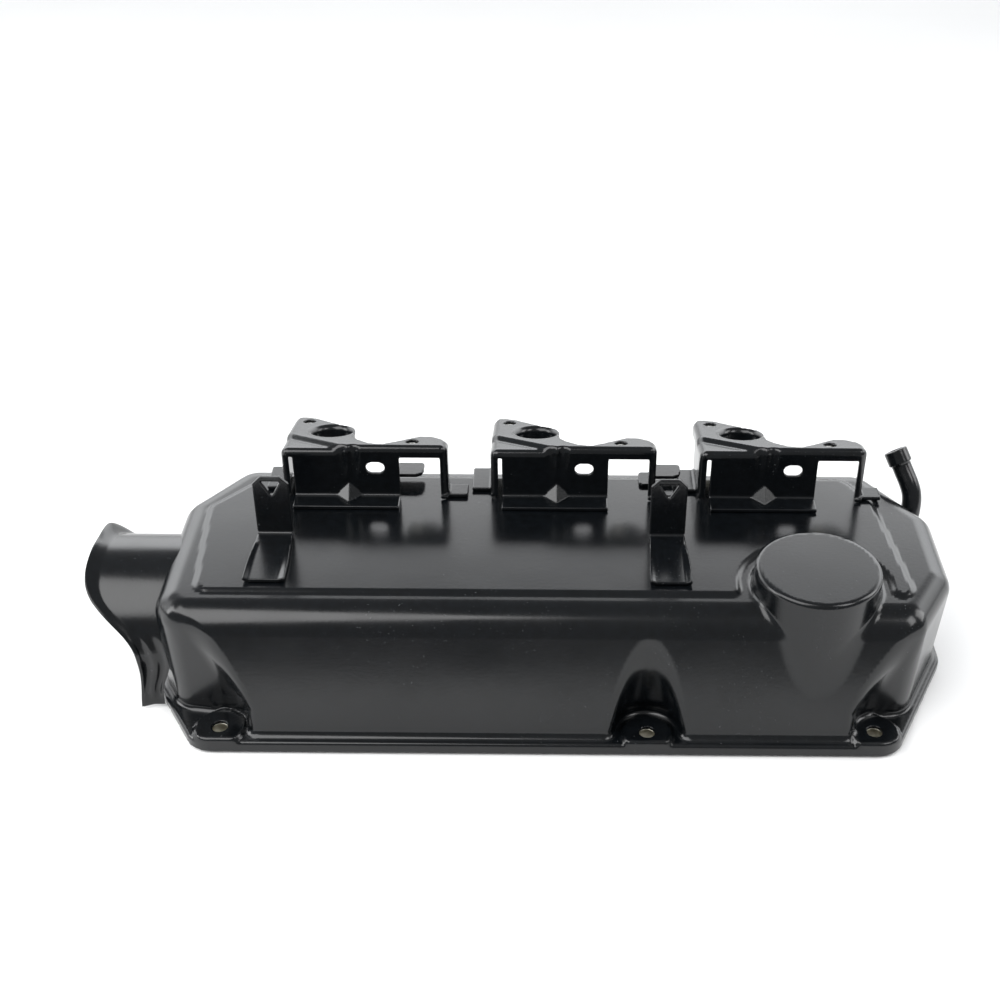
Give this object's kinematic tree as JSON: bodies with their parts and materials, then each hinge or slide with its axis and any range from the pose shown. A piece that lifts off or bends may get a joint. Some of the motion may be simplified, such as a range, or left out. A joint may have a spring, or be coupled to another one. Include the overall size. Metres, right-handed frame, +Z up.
{
  "type": "cylinder head cover",
  "caption": "Black drawn-steel camshaft cover with bolted lip flange, round boss, half-round end cowl, folded coil brackets, loom tabs and breather tube.",
  "frame": {"origin": "under the middle of the whole assembly, at the sealing face of the gasket", "axes": "+X along the cover away from the cowl, +Y to the coil brackets' rear, +Z up away from the cylinder head"},
  "size_m": [0.432, 0.172, 0.1065],
  "materials": {
    "body_paint": "semi-gloss black stoved enamel on drawn steel",
    "bracket_paint": "semi-gloss black stoved enamel on folded steel",
    "gasket_rubber": "moulded nitrile rubber, dull",
    "zinc_plate": "turned steel, zinc plated",
    "baffle_steel": "bare rolled steel sheet, oil darkened"
  },
  "bodies": {
    "root": {"cover_shell": "body_paint", "cam_end_cowl": "body_paint", "flange_gasket": "gasket_rubber", "breather_baffle": "baffle_steel", "breather_tube": "body_paint", "breather_collar": "body_paint", "loom_tab_left": "bracket_paint", "loom_tab_right": "bracket_paint", "rear_clip_left": "bracket_paint", "rear_clip_right": "bracket_paint", "bolt_bush_front_left": "zinc_plate", "bolt_bush_front_middle": "zinc_plate", "bolt_bush_front_right": "zinc_plate", "bolt_bush_rear_left": "zinc_plate", "bolt_bush_rear_middle": "zinc_plate", "bolt_bush_rear_right": "zinc_plate", "coil_bracket_1": "bracket_paint", "coil_nut_1_rear": "zinc_plate", "coil_nut_1_front": "zinc_plate", "coil_bracket_2": "bracket_paint", "coil_nut_2_rear": "zinc_plate", "coil_nut_2_front": "zinc_plate", "coil_bracket_3": "bracket_paint", "coil_nut_3_rear": "zinc_plate", "coil_nut_3_front": "zinc_plate"}
  },
  "joints": []
}
